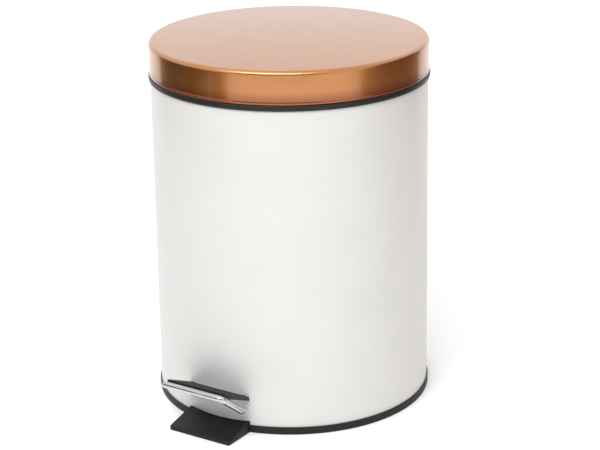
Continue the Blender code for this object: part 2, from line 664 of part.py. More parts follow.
def lid_hinge_bracket(finish):
    """Barrel, lug and upright plate, with the forked crank that the lift rod turns."""
    half = BRACKET_HALF
    plate_out = BRACKET_ROOM - GAP
    plate_in = plate_out - PLATE_T
    lug_z = LID_Z + LUG_RISE
    made = rod("lid_hinge_bracket", "X", (HINGE_Y, HINGE_Z), KNUCKLE_R, -half, half, finish, 24)
    lug = [(plate_in, lug_z), (HINGE_Y, lug_z), (HINGE_Y, lug_z + LUG_T),
           (plate_out, lug_z + LUG_T), (plate_out, LID_Z + 16), (plate_in, LID_Z + 16)]
    add(made, extruded("lug", lug, -half + 0.05, half - 0.05, "X"))
    for side in (-1, 1):
        arm = capsule((HINGE_Y, HINGE_Z), (CRANK_Y, CRANK_Z), 3.4, 2.7)
        ends = sorted((side * FORK_IN, side * FORK_OUT))
        add(made, extruded("arm", arm, *ends, "X"))
    cut(made, rod("bore", "X", (HINGE_Y, HINGE_Z), HINGE_R + RUN, -40, 40),
        rod("bore", "X", (CRANK_Y, CRANK_Z), CRANK_PIN_R + RUN, -40, 40), *lid_bores())
    set_origin(made, HINGE_Y, HINGE_Z)
    return made


def lid_hardware(steel, rubber):
    head = FORK_OUT + GAP
    pin = headed("crank_pin", "X", (CRANK_Y, CRANK_Z),
                 [(-head - 0.9, 1.9), (-head - 0.6, 2.2), (-head, 2.2), (-head, CRANK_PIN_R),
                  (head, CRANK_PIN_R), (head, 2.2), (head + 0.6, 2.2), (head + 0.9, 1.9)], steel, 16)
    set_origin(pin, HINGE_Y, HINGE_Z)
    face = math.sqrt(LID_R ** 2 - (LID_RIVET_X - 2.7) ** 2) + GAP
    inner = BRACKET_ROOM - GAP - PLATE_T - GAP
    shank = LID_RIVET_R
    for side, label in ((-1, "left"), (1, "right")):
        rivet = headed("lid_rivet_" + label, "Y", (side * LID_RIVET_X, LID_RIVET_Z),
                       [(inner - 0.9, shank + 0.5), (inner - 0.5, shank + 1.0),
                        (inner, shank + 1.0), (inner, shank), (face, shank),
                        (face, shank + 1.3), (face + 0.4, shank + 1.1),
                        (face + 0.8, shank + 0.1)], steel)
        set_origin(rivet, HINGE_Y, HINGE_Z)
    for label, turn in (("front", 0), ("right", 118), ("left", -118)):
        ring = LINER_R - BUFFER_R
        spot = (ring * math.sin(math.radians(turn)), -ring * math.cos(math.radians(turn)))
        buffer = rod("lid_buffer_" + label, "Z", spot, BUFFER_R, LID_Z + 0.1, LINER_Z - GAP,
                     rubber, 16)
        set_origin(buffer, HINGE_Y, HINGE_Z)


def build():
    clear_scene()
    paint = material("white_paint", (0.84, 0.83, 0.81), 0.28)
    copper = material("copper_lacquer", (0.72, 0.36, 0.16), 0.3, 1.0)
    black = material("black_plastic", (0.03, 0.028, 0.027), 0.45)
    chrome = material("chrome_plate", (0.75, 0.75, 0.76), 0.08, 1.0)
    zinc = material("zinc_plate", (0.55, 0.55, 0.53), 0.35, 1.0)
    rubber = material("black_rubber", (0.02, 0.02, 0.02), 0.8)
    base_moulding(black)
    pivot_hardware(zinc)
    body_shell(paint)
    top_rim_collar(black)
    hinge_housing(black)
    housing_hardware(zinc)
    rod_guide("lower_rod_guide", GUIDE_LOW, black)
    rod_guide("upper_rod_guide", HOUSING_Z - GUIDE_DROP, black)
    inner_bucket(black)
    bucket_bail(zinc)
    pedal_lever(zinc)
    pedal_pad(black)
    pedal_rod(chrome)
    lift_rod(zinc)
    lid_shell(copper)
    lid_liner(black)
    lid_hinge_bracket(black)
    lid_hardware(zinc, rubber)


build()
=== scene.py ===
# %% [markdown]
# # A five litre pedal bin
# A white steel tube stands in a black moulded foot. A copper-coloured cap is hinged at its back,
# and a ridged tread in front lifts that cap through a lever and a rod inside.
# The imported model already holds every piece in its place, so it is loaded first and never moved.
# Finer pieces are then made on top of it, each standing for the solid it replaces.

# %% Load the frame and keep its box
import json
import math

import bmesh
import bpy
from mathutils import Matrix, Vector


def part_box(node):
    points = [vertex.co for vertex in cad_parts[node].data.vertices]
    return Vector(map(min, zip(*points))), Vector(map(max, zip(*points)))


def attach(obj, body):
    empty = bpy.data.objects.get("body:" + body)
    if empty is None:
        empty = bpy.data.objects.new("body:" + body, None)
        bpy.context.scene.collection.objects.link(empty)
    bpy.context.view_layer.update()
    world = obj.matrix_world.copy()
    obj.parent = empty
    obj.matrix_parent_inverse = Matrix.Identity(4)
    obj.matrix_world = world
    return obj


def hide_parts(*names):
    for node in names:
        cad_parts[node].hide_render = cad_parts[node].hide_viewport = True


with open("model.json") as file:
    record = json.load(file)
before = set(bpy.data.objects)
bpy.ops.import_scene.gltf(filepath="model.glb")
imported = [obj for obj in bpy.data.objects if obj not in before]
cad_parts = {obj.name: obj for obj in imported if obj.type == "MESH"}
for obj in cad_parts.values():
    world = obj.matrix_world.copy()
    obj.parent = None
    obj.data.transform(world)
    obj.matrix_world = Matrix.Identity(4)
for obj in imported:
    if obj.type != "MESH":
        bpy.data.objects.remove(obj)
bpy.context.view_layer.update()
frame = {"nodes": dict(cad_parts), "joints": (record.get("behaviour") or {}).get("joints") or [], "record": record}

MM = 0.001
JOINTS = {joint["name"]: joint for joint in frame["joints"]}
BODY_OF = {node: body for body, nodes in frame["record"]["behaviour"]["bodies"].items()
           for node in nodes}


def corners(node):
    """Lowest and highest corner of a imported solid, in millimetres."""
    low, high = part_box(node)
    return Vector(low) / MM, Vector(high) / MM


# %% [markdown]
# ## The camera and the light
# The bin is seen from a little above, turned so that its tread points to the lower left.
# A long lens from over a metre away keeps the tube's sides nearly parallel.
# The camera is set by its distance, height and three small angles, as one on a tripod is, and a
# lens shift moves the bin within the frame without tipping the camera any further.

# %% Camera
TURN = math.radians(33.5)        # camera's place round the bin, from the tread
CAMERA_FAR = 1.3356              # from the bin's axis, in metres
CAMERA_HIGH = 0.5967
CAMERA_PITCH = 0.3079            # these three in radians
CAMERA_YAW = 0.0051
CAMERA_ROLL = -0.0148
LENS = 112.07                    # focal length and sensor width in mm
SENSOR = 36.0
SHIFT = -0.0988                  # as a share of the sensor
UP = Vector((0, 0, 1))


def round_bin(angle, far, high):
    """A point in the room, its angle measured from the camera's side of the bin."""
    return Vector((far * math.sin(TURN + angle), -far * math.cos(TURN + angle), high))


def aim(thing, right, up, place):
    """Places a camera, lamp or card by its own right and up directions."""
    columns = Matrix((right, up, right.cross(up))).transposed()
    thing.matrix_world = Matrix.Translation(place) @ columns.to_4x4()


inward = -round_bin(0, 1, 0)
sideways = inward.cross(UP)
level = inward * math.cos(CAMERA_YAW) + sideways * math.sin(CAMERA_YAW)
flat_right = sideways * math.cos(CAMERA_YAW) - inward * math.sin(CAMERA_YAW)
flat_up = UP * math.cos(CAMERA_PITCH) + level * math.sin(CAMERA_PITCH)
right = flat_right * math.cos(CAMERA_ROLL) + flat_up * math.sin(CAMERA_ROLL)
up = flat_up * math.cos(CAMERA_ROLL) - flat_right * math.sin(CAMERA_ROLL)

camera = bpy.data.objects.new("camera", bpy.data.cameras.new("camera"))
bpy.context.scene.collection.objects.link(camera)
aim(camera, right, up, round_bin(0, CAMERA_FAR, CAMERA_HIGH))
camera.data.lens = LENS
camera.data.sensor_width = SENSOR
camera.data.shift_y = SHIFT
camera.data.clip_end = 50.0
bpy.context.scene.camera = camera
bpy.context.scene.view_settings.view_transform = "Standard"
print("camera at", [round(value, 3) for value in camera.location], "lens", LENS)

# %% [markdown]
# A small set of tools serves the whole file. The first turns a paint chart's sRGB colour into
# the linear numbers that a shader expects. The second adds one node with its settings and links,
# and the last two start a material and link the finished patterns into its shader.
# A colour mix has several inputs called A and B, so its colour sockets are named here by place.

# %% Colour and node helpers
COLOUR_A, COLOUR_B, MIXED = 6, 7, 2


def colour(code):
    """Linear RGBA of an sRGB hex colour."""
    parts = [int(code[i:i + 2], 16) / 255 for i in (1, 3, 5)]
    return tuple(p / 12.92 if p <= 0.04045 else ((p + 0.055) / 1.055) ** 2.4 for p in parts) + (1.0,)


def add_node(tree, kind, values=None, links=None, **settings):
    """Adds a node, sets its options and its inputs, and links outputs into it."""
    node = tree.nodes.new(kind)
    for name, value in settings.items():
        setattr(node, name, value)
    for socket, value in (values or {}).items():
        node.inputs[socket].default_value = value
    for socket, source in (links or {}).items():
        tree.links.new(source, node.inputs[socket])
    return node


def grains(size):
    """Texture scale for a pattern whose features are this many millimetres apart."""
    return 1.0 / (size * MM)


def start_finish(name, values):
    """A new material with its shader's own numbers set; returns material, tree and shader."""
    print("finish:", name)
    finish = bpy.data.materials.new(name)
    finish.use_nodes = True
    shader = finish.node_tree.nodes["Principled BSDF"]
    for socket, value in values.items():
        shader.inputs[socket].default_value = value
    return finish, finish.node_tree, shader


def feed(tree, shader, sources):
    """Links outputs into a shader's sockets."""
    for socket, source in sources.items():
        tree.links.new(source, shader.inputs[socket])


# %% [markdown]
# The room is plain: a pale floor without an edge and an even white surround, like a light tent.
# A nearly black card stands to the left and a brown one to the right. The lid's glossy side mirrors
# the floor and those cards, which is where its two dark bands come from. A narrow brown card beside
# each carries its band a little further, so that the band doesn't end in one hard line. A wide
# strip lamp up in front draws the thin bright line along the lid's rounded edge, and a dark flag
# below the lamp sets that line off. The cards and the flag are hidden from the camera.

# %% Surround, floor and card paints
SURROUND = 1.02
FLOOR_GLOW = 0.12                # the floor is lit a little from below
world = bpy.data.worlds.new("light_tent")
world.use_nodes = True
surround = world.node_tree.nodes["Background"]
surround.inputs["Color"].default_value = colour("#FFFFFF")
surround.inputs["Strength"].default_value = SURROUND
bpy.context.scene.world = world

floor_finish, tree, shader = start_finish("pale_matt_floor", {
    "Roughness": 0.9, "Specular IOR Level": 0.1, "Emission Color": colour("#FFFFFF"),
    "Emission Strength": FLOOR_GLOW})
mottle = add_node(tree, "ShaderNodeTexNoise", {"Scale": 3.0, "Detail": 2.0})
tone = add_node(tree, "ShaderNodeMix", {COLOUR_A: colour("#F4F4F3"), COLOUR_B: colour("#F8F8F8")},
                {"Factor": mottle.outputs["Fac"]}, data_type="RGBA")
feed(tree, shader, {"Base Color": tone.outputs[MIXED]})

dark_card = start_finish("dark_brown_card", {"Roughness": 0.95, "Base Color": colour("#26120C")})[0]
brown_card = start_finish("brown_card", {"Roughness": 0.95, "Base Color": colour("#64473B")})[0]

# %% Floor, cards and lamps
LOOK_HIGH = 0.15                 # the lamps point at this height on the bin's axis


def sheet(name, half_width, half_height, finish):
    """Flat stage piece, facing its own +Z."""
    bm = bmesh.new()
    bmesh.ops.create_grid(bm, x_segments=1, y_segments=1, size=1.0)
    bmesh.ops.scale(bm, vec=(half_width, half_height, 1.0), verts=bm.verts)
    mesh = bpy.data.meshes.new(name)
    bm.to_mesh(mesh)
    bm.free()
    mesh.materials.append(finish)
    made = bpy.data.objects.new(name, mesh)
    bpy.context.scene.collection.objects.link(made)
    return made


sheet("floor", 30.0, 30.0, floor_finish)
# angle in degrees; distance from the axis, lower edge, half width and half height in metres
for name, angle, far, foot, half_width, half_height, finish in (
        ("card_left", -93, 0.75, 0.01, 0.42, 0.16, dark_card),
        ("card_left_edge", -55, 0.74, 0.01, 0.09, 0.16, brown_card),
        ("card_right", 94, 0.75, 0.01, 0.42, 0.32, brown_card),
        ("card_right_edge", 60, 0.74, 0.01, 0.07, 0.10, brown_card),
        ("flag_front", -10, 1.7, 0.33, 1.2, 0.42, dark_card)):
    card = sheet(name, half_width, half_height, finish)
    turn = math.radians(angle)
    aim(card, UP.cross(round_bin(turn, 1, 0)), UP, round_bin(turn, far, foot + half_height))
    card.visible_camera = False


def soft_lamp(name, angle, far, high, size, power):
    """Rectangular lamp that points at the bin; its size is in metres, its power in watts."""
    lamp = bpy.data.lights.new(name, "AREA")
    lamp.shape = "RECTANGLE"
    lamp.size, lamp.size_y = size
    lamp.energy = power
    made = bpy.data.objects.new(name, lamp)
    bpy.context.scene.collection.objects.link(made)
    place = round_bin(math.radians(angle), far, high)
    back = (place - UP * LOOK_HIGH).normalized()
    across = UP.cross(back).normalized()
    aim(made, across, back.cross(across), place)


soft_lamp("front_strip", -18, 1.5, 1.7, (1.8, 0.4), 26.0)
soft_lamp("top_softbox", -60, 0.9, 2.4, (1.6, 1.6), 4.0)
print("stage: floor, 4 cards, 1 flag, 2 lamps")

# %% [markdown]
# ## The finishes
# Each finish starts from what the real one is and how its surface was made.

# %% [markdown]
# **Copper lacquer on steel.** The cap is drawn from steel sheet and sprayed with a copper-toned
# metallic lacquer, then a clear coat. Tiny flakes lie nearly flat in it, so it mirrors like metal,
# but softly and with a fine glitter. A metallic shader gives the tinted mirror. A Voronoi pattern
# tips each flake a little, and the clear coat adds a second, whiter mirror that takes over at
# grazing angles, which is why the flat top looks pale and the side looks deep.
# Real flakes are under 0.1 mm, too fine to show, so they are drawn 0.55 mm across.
# The skirt's colour is painted deeper over its last 11 mm above the lower edge. This is painted shade for the dark
# that the lower skirt mirrors.

# %% Copper lacquer
FLAKE = 0.55
TILT = 0.032                     # flakes lean by up to this much, in radians
FLAKE_TONE = 0.35                # how much one flake's tone differs from the next
SPRAY_DRIFT = 18.0               # width of the slow changes that a spray gun leaves
LACQUER_PEEL = 2.6               # width of the waves in the clear coat
# Painted shade on the skirt: full up to the first height, gone above the second
SHADE_FULL_BELOW, SHADE_GONE_ABOVE = 1.0, 11.0   # above the skirt's edge
copper_lacquer, tree, shader = start_finish("copper_metallic_lacquer", {
    "Metallic": 1.0, "Roughness": 0.3, "Coat Weight": 1.0, "Coat Roughness": 0.12,
    "Coat IOR": 1.5})
where = add_node(tree, "ShaderNodeTexCoord").outputs["Object"]
flakes = add_node(tree, "ShaderNodeTexVoronoi", {"Scale": grains(FLAKE)}, {"Vector": where})
one_flake = add_node(tree, "ShaderNodeSeparateColor", links={"Color": flakes.outputs["Color"]})
cloud = add_node(tree, "ShaderNodeTexNoise", {"Scale": grains(SPRAY_DRIFT), "Detail": 3.0},
                 {"Vector": where})
share = add_node(tree, "ShaderNodeMath", {1: FLAKE_TONE}, {0: one_flake.outputs["Red"]},
                 operation="MULTIPLY")
blend = add_node(tree, "ShaderNodeMath", links={0: share.outputs[0], 1: cloud.outputs["Fac"]},
                 operation="ADD")
tint = add_node(tree, "ShaderNodeMix", {COLOUR_A: colour("#BA7740"), COLOUR_B: colour("#C6854B")},
                {"Factor": blend.outputs[0]}, data_type="RGBA")
spot = add_node(tree, "ShaderNodeSeparateXYZ", links={"Vector": where})
lid_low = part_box("lid_shell")[0][2]
skirt_shade_mask = add_node(tree, "ShaderNodeMapRange",
                {"From Min": lid_low + SHADE_FULL_BELOW * MM, "From Max": lid_low + SHADE_GONE_ABOVE * MM},
                {"Value": spot.outputs["Z"]}, interpolation_type="SMOOTHSTEP")
# Painted shade: a deeper copper laid over the skirt's lower part
painted_skirt_shade = add_node(tree, "ShaderNodeMix", {COLOUR_A: colour("#98542A")},
                {"Factor": skirt_shade_mask.outputs["Result"], COLOUR_B: tint.outputs[MIXED]}, data_type="RGBA")
gloss = add_node(tree, "ShaderNodeMapRange", {"To Min": 0.28, "To Max": 0.35},
                 {"Value": one_flake.outputs["Green"]})
# a range for vectors has sockets of its own, which are also named here by place
VECTOR, FROM_LOW, FROM_HIGH, TO_LOW, TO_HIGH = 6, 7, 8, 9, 10
lean = add_node(tree, "ShaderNodeMapRange", {FROM_LOW: (0, 0, 0), FROM_HIGH: (1, 1, 1),
                                             TO_LOW: (-TILT,) * 3, TO_HIGH: (TILT,) * 3},
                {VECTOR: flakes.outputs["Color"]}, data_type="FLOAT_VECTOR")
straight = add_node(tree, "ShaderNodeNewGeometry")
leant = add_node(tree, "ShaderNodeVectorMath", links={0: straight.outputs["Normal"],
                                                      1: lean.outputs["Vector"]}, operation="ADD")
tilt = add_node(tree, "ShaderNodeVectorMath", links={0: leant.outputs[0]}, operation="NORMALIZE")
peel = add_node(tree, "ShaderNodeTexNoise", {"Scale": grains(LACQUER_PEEL), "Detail": 1.0},
                {"Vector": where})
skin = add_node(tree, "ShaderNodeBump", {"Strength": 0.12, "Distance": 0.012 * MM},
                {"Height": peel.outputs["Fac"]})
feed(tree, shader, {"Base Color": painted_skirt_shade.outputs[MIXED], "Roughness": gloss.outputs[0],
                    "Normal": tilt.outputs[0], "Coat Normal": skin.outputs[0]})

# %% [markdown]
# **White powder coat on steel.** Powder is baked on and flows into a hard, slightly wavy skin
# known as orange peel. It reads as a bright, nearly neutral white with broad soft reflections.
# The waves are 1.8 mm apart and a few micrometres deep.

# %% White powder coat
PEEL = 1.8
BAKE_DRIFT = 40.0                # width of the slow changes in tone
white_powder, tree, shader = start_finish("white_powder_coated_steel", {
    "Roughness": 0.3, "IOR": 1.5})
where = add_node(tree, "ShaderNodeTexCoord").outputs["Object"]
cloud = add_node(tree, "ShaderNodeTexNoise", {"Scale": grains(BAKE_DRIFT), "Detail": 4.0},
                 {"Vector": where})
tint = add_node(tree, "ShaderNodeMix", {COLOUR_A: colour("#D2D1CF"), COLOUR_B: colour("#D8D7D5")},
                {"Factor": cloud.outputs["Fac"]}, data_type="RGBA")
peel = add_node(tree, "ShaderNodeTexNoise", {"Scale": grains(PEEL), "Detail": 2.0},
                {"Vector": where})
gloss = add_node(tree, "ShaderNodeMapRange", {"To Min": 0.27, "To Max": 0.36},
                 {"Value": cloud.outputs["Fac"]})
skin = add_node(tree, "ShaderNodeBump", {"Strength": 0.25, "Distance": 0.02 * MM},
                {"Height": peel.outputs["Fac"]})
feed(tree, shader, {"Base Color": tint.outputs[MIXED], "Roughness": gloss.outputs[0],
                    "Normal": skin.outputs[0]})

# %% [markdown]
# **Black moulded polypropylene.** The foot, rim, bucket and liner are injection moulded.
# The mould is spark-eroded, so its skin is a fine matt grain that spreads every highlight.
# The same recipe, a little glossier, serves the tread, where shoes polish the plastic.
# Grain of 0.15 mm wouldn't show, so it is drawn 0.45 to 0.6 mm apart.
# Its pits trap some of the light that a flat skin would mirror, so the specular level is 0.35.

# %% Moulded black plastics
FLOW = 14.0                      # width of the faint marks that the plastic's flow leaves


def moulded_plastic(name, dark, light, gloss_low, gloss_high, grain):
    """Grained black plastic between two tones and two glosses."""
    finish, tree, shader = start_finish(name, {"IOR": 1.49, "Specular IOR Level": 0.35})
    where = add_node(tree, "ShaderNodeTexCoord").outputs["Object"]
    cloud = add_node(tree, "ShaderNodeTexNoise", {"Scale": grains(FLOW), "Detail": 5.0},
                     {"Vector": where})
    tint = add_node(tree, "ShaderNodeMix", {COLOUR_A: colour(dark), COLOUR_B: colour(light)},
                    {"Factor": cloud.outputs["Fac"]}, data_type="RGBA")
    grain_map = add_node(tree, "ShaderNodeTexNoise", {"Scale": grains(grain), "Detail": 2.0},
                         {"Vector": where})
    gloss = add_node(tree, "ShaderNodeMapRange", {"To Min": gloss_low, "To Max": gloss_high},
                     {"Value": grain_map.outputs["Fac"]})
    skin = add_node(tree, "ShaderNodeBump", {"Strength": 0.35, "Distance": 0.06 * MM},
                    {"Height": grain_map.outputs["Fac"]})
    feed(tree, shader, {"Base Color": tint.outputs[MIXED], "Roughness": gloss.outputs[0],
                        "Normal": skin.outputs[0]})
    return finish


black_plastic = moulded_plastic("black_moulded_polypropylene", "#121110", "#1B1A19", 0.46, 0.62, 0.6)
rim_plastic = moulded_plastic("black_satin_polypropylene", "#171514", "#1F1D1B", 0.32, 0.44, 0.6)
tread_plastic = moulded_plastic("black_polished_tread", "#1E1C1B", "#2A2826", 0.38, 0.54, 0.45)

# %% [markdown]
# **Bright chrome on wire.** Chrome over nickel is a near-perfect mirror, so it shows the dark
# tread and the pale floor as hard stripes. Faint smears vary its gloss.

# %% Chrome
SMEAR = 6.0
chrome, tree, shader = start_finish("chromed_steel_wire", {
    "Metallic": 1.0, "Base Color": colour("#C6C8CC")})
where = add_node(tree, "ShaderNodeTexCoord").outputs["Object"]
smear = add_node(tree, "ShaderNodeTexNoise", {"Scale": grains(SMEAR), "Detail": 4.0},
                 {"Vector": where})
gloss = add_node(tree, "ShaderNodeMapRange", {"To Min": 0.04, "To Max": 0.14},
                 {"Value": smear.outputs["Fac"]})
feed(tree, shader, {"Roughness": gloss.outputs[0]})

# %% [markdown]
# **Zinc-plated steel** covers the lever, rod, bail, pins and rivets. Plating grows in small
# crystals, so each patch is a slightly different grey, with a faint straw or blue tint. Real
# crystals are far finer than a millimetre; drawn 2.2 mm apart, they still read as a broken grey.

# %% Zinc plate
CRYSTAL = 2.2
zinc, tree, shader = start_finish("zinc_plated_steel", {"Metallic": 1.0})
where = add_node(tree, "ShaderNodeTexCoord").outputs["Object"]
crystals = add_node(tree, "ShaderNodeTexVoronoi", {"Scale": grains(CRYSTAL)}, {"Vector": where})
shade = add_node(tree, "ShaderNodeSeparateColor", links={"Color": crystals.outputs["Color"]})
tint = add_node(tree, "ShaderNodeMix", {COLOUR_A: colour("#A9ABA6"), COLOUR_B: colour("#BFC3C4")},
                {"Factor": shade.outputs["Red"]}, data_type="RGBA")
gloss = add_node(tree, "ShaderNodeMapRange", {"To Min": 0.28, "To Max": 0.42},
                 {"Value": shade.outputs["Green"]})
feed(tree, shader, {"Base Color": tint.outputs[MIXED], "Roughness": gloss.outputs[0]})

# %% [markdown]
# **Black rubber** makes the three buffers that stop the lid clanging. It is dull, with a
# slightly dusty bloom.

# %% Rubber
BLOOM = 1.5
rubber, tree, shader = start_finish("black_moulded_rubber", {"Roughness": 0.82, "IOR": 1.52})
where = add_node(tree, "ShaderNodeTexCoord").outputs["Object"]
bloom = add_node(tree, "ShaderNodeTexNoise", {"Scale": grains(BLOOM), "Detail": 3.0},
                 {"Vector": where})
tint = add_node(tree, "ShaderNodeMix", {COLOUR_A: colour("#131313"), COLOUR_B: colour("#232322")},
                {"Factor": bloom.outputs["Fac"]}, data_type="RGBA")
skin = add_node(tree, "ShaderNodeBump", {"Strength": 0.3, "Distance": 0.05 * MM},
                {"Height": bloom.outputs["Fac"]})
feed(tree, shader, {"Base Color": tint.outputs[MIXED], "Normal": skin.outputs[0]})

# %% [markdown]
# ## Shaping tools
# Nearly every piece is a turned profile, a pushed outline or a bent wire. Each profile is a
# list of corners with a radius of its own, because real sheet and plastic have no sharp edges.

# %% Outlines
def filleted(spots, steps=5):
    """Closed outline from (a, b, radius) corners, each rounded by its own radius."""
    outline = []
    for i, (a, b, radius) in enumerate(spots):
        here = Vector((a, b))
        if radius == 0:
            outline.append((a, b))
            continue
        back = (Vector(spots[i - 1][:2]) - here).normalized()
        on = (Vector(spots[(i + 1) % len(spots)][:2]) - here).normalized()
        half = back.angle(on) / 2
        centre = here + (back + on).normalized() * (radius / math.sin(half))
        first = here + back * (radius / math.tan(half)) - centre
        last = here + on * (radius / math.tan(half)) - centre
        start = math.atan2(first.y, first.x)
        sweep = (math.atan2(last.y, last.x) - start + math.pi) % math.tau - math.pi
        outline += [(centre.x + radius * math.cos(start + sweep * j / steps),
                     centre.y + radius * math.sin(start + sweep * j / steps))
                    for j in range(steps + 1)]
    return outline


def plan(half, low, high, radius, steps=6):
    """Rectangle with round corners, centred on the first axis."""
    return filleted([(-half, low, radius), (half, low, radius), (half, high, radius),
                     (-half, high, radius)], steps)


def circle(a, b, radius, sides=48):
    """Round outline."""
    return [(a + radius * math.cos(math.tau * i / sides), b + radius * math.sin(math.tau * i / sides))
            for i in range(sides)]


# %% Solids from outlines
def solid(bm, name):
    """Closed mesh in millimetres, made into an object in metres."""
    bmesh.ops.recalc_face_normals(bm, faces=bm.faces)
    bmesh.ops.scale(bm, vec=(MM, MM, MM), verts=bm.verts)
    mesh = bpy.data.meshes.new(name)
    bm.to_mesh(mesh)
    bm.free()
    made = bpy.data.objects.new(name, mesh)
    bpy.context.scene.collection.objects.link(made)
    return made


def skin_rings(bm, rings, closed):
    """Joins rings of vertices by faces; a ring of one vertex is a pole."""
    pairs = list(zip(rings, rings[1:] + (rings[:1] if closed else [])))
    for here, there in pairs:
        for i in range(max(len(here), len(there))):
            j = i + 1
            ring = [here[i % len(here)], here[j % len(here)],
                    there[j % len(there)], there[i % len(there)]]
            ring = list(dict.fromkeys(ring))
            if len(ring) > 2:
                bm.faces.new(ring)


def turned(name, outline, sides=240):
    """Closed outline of (radius, height) spun round Z."""
    bm = bmesh.new()
    rings = []
    for radius, height in outline:
        count = sides if radius > 1e-6 else 1
        rings.append([bm.verts.new((radius * math.sin(math.tau * i / sides),
                                    -radius * math.cos(math.tau * i / sides), height))
                      for i in range(count)])
    skin_rings(bm, rings, True)
    return solid(bm, name)


def pushed(name, outline, start, end, axis):
    """Closed outline pushed along an axis: X takes (y, z), Y takes (x, z), Z takes (x, y)."""
    place = {"X": lambda a, b, c: (c, a, b), "Y": lambda a, b, c: (a, c, b),
             "Z": lambda a, b, c: (a, b, c)}[axis]
    bm = bmesh.new()
    rings = [[bm.verts.new(place(a, b, c)) for a, b in outline] for c in (start, end)]
    skin_rings(bm, rings, False)
    for ring in rings:
        bm.faces.new(ring)
    return solid(bm, name)


TIPS = ((0.5, 0.87), (0.8, 0.6), (0.97, 0.25))   # a wire's end rings: how far out, how wide


def bent(name, path, radius, sides=24):
    """Round wire along a path, its ends rounded by smaller and smaller rings."""
    path = [Vector(spot) for spot in path]
    steps = [(b - a).normalized() for a, b in zip(path, path[1:])]
    headings = [steps[0]] + [(a + b).normalized() for a, b in zip(steps, steps[1:])] + [steps[-1]]
    side = headings[0].orthogonal().normalized()
    stations = []
    for spot, heading in zip(path, headings):
        side = (side - heading * side.dot(heading)).normalized()
        stations.append((spot, side, heading.cross(side), radius))
    for back, share in TIPS:
        _, a, b, _ = stations[0]
        stations.insert(0, (path[0] - headings[0] * radius * back, a, b, radius * share))
        _, a, b, _ = stations[-1]
        stations.append((path[-1] + headings[-1] * radius * back, a, b, radius * share))
    bm = bmesh.new()
    rings = [[bm.verts.new(spot + (a * math.cos(math.tau * i / sides)
                                   + b * math.sin(math.tau * i / sides)) * reach)
              for i in range(sides)] for spot, a, b, reach in stations]
    skin_rings(bm, rings, False)
    bm.faces.new(rings[0])
    bm.faces.new(rings[-1])
    return solid(bm, name)


def soft_path(points, radii, steps=10):
    """Run of points in space with each inner corner rounded."""
    path = [Vector(points[0])]
    for before, here, after, radius in zip(points, points[1:], points[2:], radii):
        before, here, after = Vector(before), Vector(here), Vector(after)
        back, on = (before - here).normalized(), (after - here).normalized()
        half = back.angle(on) / 2
        centre = here + (back + on).normalized() * (radius / math.sin(half))
        first = here + back * (radius / math.tan(half)) - centre
        last = here + on * (radius / math.tan(half)) - centre
        axis = first.cross(last).normalized()
        path += [centre + Matrix.Rotation(first.angle(last) * i / steps, 3, axis) @ first
                 for i in range(steps + 1)]
    return path + [Vector(points[-1])]


# %% [markdown]
# Two more tools finish a piece. One joins or cuts solids. The other rolls the edges with a small
# bevel, shades it, paints it, hides the plain solid it stands for and ties it to its moving body.

# %% Joining, softening and placing
SHARP = math.radians(32)         # edges sharper than this are rolled and shaded as edges


def combined(piece, others, operation):
    """Adds or cuts other solids, which are then gone."""
    for other in others:
        step = piece.modifiers.new(operation.title(), "BOOLEAN")
        step.operation = operation
        step.solver = "EXACT"
        step.object = other
    settle(piece)
    for other in others:
        bpy.data.objects.remove(other)
    return piece


def settle(piece):
    """Turns a piece's modifiers into its own mesh."""
    bpy.context.view_layer.update()
    graph = bpy.context.evaluated_depsgraph_get()
    shaped = bpy.data.meshes.new_from_object(piece.evaluated_get(graph))
    piece.modifiers.clear()
    piece.data = shaped
    return piece


def rolled(piece, width, segments=2):
    """Rounds the sharp edges by a width in millimetres."""
    bm = bmesh.new()
    bm.from_mesh(piece.data)
    bmesh.ops.remove_doubles(bm, verts=bm.verts, dist=0.003 * MM)
    bmesh.ops.dissolve_limit(bm, angle_limit=math.radians(0.8), verts=bm.verts, edges=bm.edges)
    bm.to_mesh(piece.data)
    bm.free()
    step = piece.modifiers.new("Bevel", "BEVEL")
    step.width = width * MM
    step.segments = segments
    step.limit_method = "ANGLE"
    step.angle_limit = SHARP
    return settle(piece)


def put(piece, finish, slot, *nodes):
    """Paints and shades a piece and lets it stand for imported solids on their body."""
    piece.data.materials.clear()
    piece.data.materials.append(finish)
    piece.data.shade_smooth()
    piece.data.set_sharp_from_angle(angle=SHARP)
    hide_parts(*nodes)
    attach(piece, BODY_OF[nodes[0]])
    print(f"{piece.name}: {len(piece.data.polygons)} faces, rides on {BODY_OF[nodes[0]]}")
    return piece


def softened(node, name, width, finish, slot):
    """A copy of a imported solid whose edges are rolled."""
    piece = bpy.data.objects.new(name, frame["nodes"][node].data.copy())
    bpy.context.scene.collection.objects.link(piece)
    return put(rolled(piece, width), finish, slot, node)


# %% [markdown]
# ## The steel shell
# The tube is rolled from sheet and closed by a lock seam down its back, then painted.
# It could be a cylinder with a Solidify modifier. A turned profile is used instead, so its two
# rims get their small rounded lips. The slot for the pedal and the notch for the lid's crank are
# cut with booleans, and the seam is a shallow groove. Three more rings in the profile keep the
# wall's faces short beside the cuts, so that no long thin face catches the light as a line.

# %% Shell
low, high = corners("body_shell")
SHELL_R, SHELL_LOW, SHELL_HIGH = high.x, low.z, high.z
SHEET, LIP = 0.8, 0.3
EXTRA_RINGS = (15, 30, SHELL_HIGH - 25)
pivot = Vector(JOINTS["pedal_press"]["pos_m"]) / MM
shell = turned("painted_shell", filleted([
    (SHELL_R - SHEET, SHELL_LOW, LIP), (SHELL_R, SHELL_LOW, LIP),
    *[(SHELL_R, height, 0) for height in EXTRA_RINGS],
    (SHELL_R, SHELL_HIGH, LIP), (SHELL_R - SHEET, SHELL_HIGH, LIP)], 3), 256)

